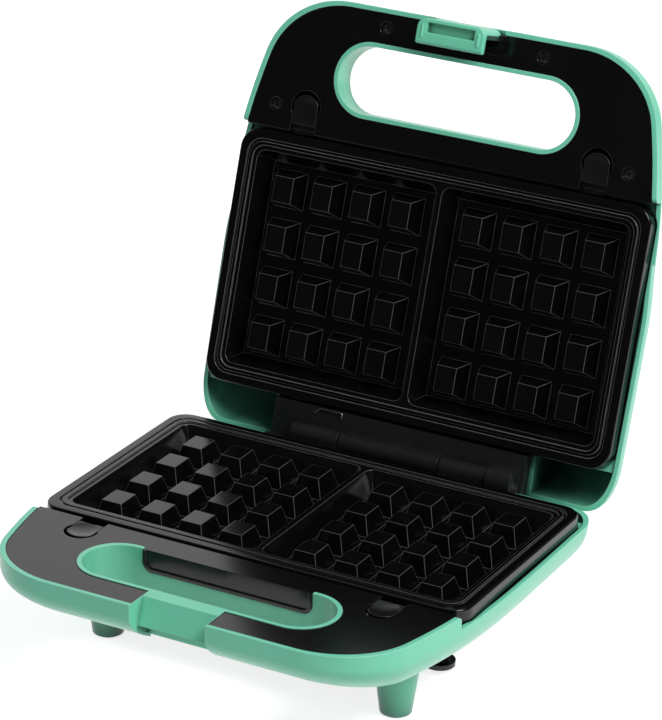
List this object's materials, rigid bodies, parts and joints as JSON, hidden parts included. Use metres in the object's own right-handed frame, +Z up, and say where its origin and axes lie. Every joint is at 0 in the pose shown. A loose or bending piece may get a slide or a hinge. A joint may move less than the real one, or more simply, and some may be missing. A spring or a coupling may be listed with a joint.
{
  "type": "waffle maker",
  "caption": "Clamshell waffle maker standing open: green moulded halves with loop grips, lift-out pocketed non-stick plates, a rear hinge and a front latch.",
  "frame": {"origin": "on the table plane under the middle of the base, 40 mm behind the step in front of the lower plate", "axes": "+Z up, +Y from the grips towards the hinge, +X to the right seen from the front"},
  "size_m": [0.237, 0.3023, 0.2726],
  "materials": {
    "shell": "satin moulded mint green",
    "black_plastic": "fine matt",
    "hinge_plastic": "satin",
    "nonstick": "black non-stick coating",
    "bright_steel": "plated",
    "element_steel": "heat dulled",
    "thermostat_metal": "plain",
    "terminal_ceramic": "unglazed ceramic",
    "lead_insulation": "matt",
    "pad_rubber": "matt",
    "red_lens": "clear",
    "green_lens": "clear"
  },
  "bodies": {
    "base": {"lower_housing": "shell", "lower_panel": "black_plastic", "lower_reflector": "bright_steel", "lower_element": "element_steel", "lower_element_clips": "bright_steel", "lower_thermostat": "thermostat_metal", "thermal_fuse": "thermostat_metal", "lower_hinge": "hinge_plastic", "hinge_pin": "bright_steel", "front_feet": "shell", "rear_feet": "shell", "foot_pads": "pad_rubber", "cord_wrap": "black_plastic", "cord_gland": "pad_rubber", "lower_release_springs": "bright_steel", "terminal_block": "terminal_ceramic", "mains_leads": "lead_insulation"},
    "lid": {"upper_housing": "shell", "upper_panel": "black_plastic", "upper_reflector": "bright_steel", "upper_element": "element_steel", "upper_element_clips": "bright_steel", "upper_thermostat": "thermostat_metal", "upper_hinge": "hinge_plastic", "latch_pin": "bright_steel", "power_lens": "red_lens", "ready_lens": "green_lens", "upper_release_springs": "bright_steel", "latch_spring": "bright_steel", "wire_clip": "bright_steel"},
    "lower_cooking_plate": {"lower_plate": "nonstick"},
    "upper_cooking_plate": {"upper_plate": "nonstick"},
    "base_button_left": {"lower_release_left": "black_plastic"},
    "base_button_right": {"lower_release_right": "black_plastic"},
    "lid_button_left": {"upper_release_left": "black_plastic"},
    "lid_button_right": {"upper_release_right": "black_plastic"},
    "lid_latch": {"latch": "shell"}
  },
  "joints": [
    {"name": "lid_hinge", "type": "hinge", "parent": "base", "child": "lid", "pos_m": [0, 0.1098, 0.0595], "axis": [-1, 0, 0], "range_deg": [-107, 0]},
    {"name": "latch_pivot", "type": "hinge", "parent": "lid", "child": "lid_latch", "pos_m": [0, 0.18291, 0.25862], "axis": [-1, 0, 0], "range_deg": [0, 26], "stiffness_Nm_per_rad": 0.08},
    {"name": "lower_plate_lift", "type": "slide", "parent": "base", "child": "lower_cooking_plate", "axis": [0, 0, 1], "range_m": [0, 0.02]},
    {"name": "upper_plate_lift", "type": "slide", "parent": "lid", "child": "upper_cooking_plate", "axis": [0, -0.9563, 0.2924], "range_m": [0, 0.02]},
    {"name": "base_button_left_press", "type": "slide", "parent": "base", "child": "base_button_left", "axis": [0, 0, -1], "range_m": [0, 0.0026], "stiffness_N_per_m": 350},
    {"name": "base_button_right_press", "type": "slide", "parent": "base", "child": "base_button_right", "axis": [0, 0, -1], "range_m": [0, 0.0026], "stiffness_N_per_m": 350},
    {"name": "lid_button_left_press", "type": "slide", "parent": "lid", "child": "lid_button_left", "axis": [0, 0.9563, -0.2924], "range_m": [0, 0.0026], "stiffness_N_per_m": 350},
    {"name": "lid_button_right_press", "type": "slide", "parent": "lid", "child": "lid_button_right", "axis": [0, 0.9563, -0.2924], "range_m": [0, 0.0026], "stiffness_N_per_m": 350}
  ]
}
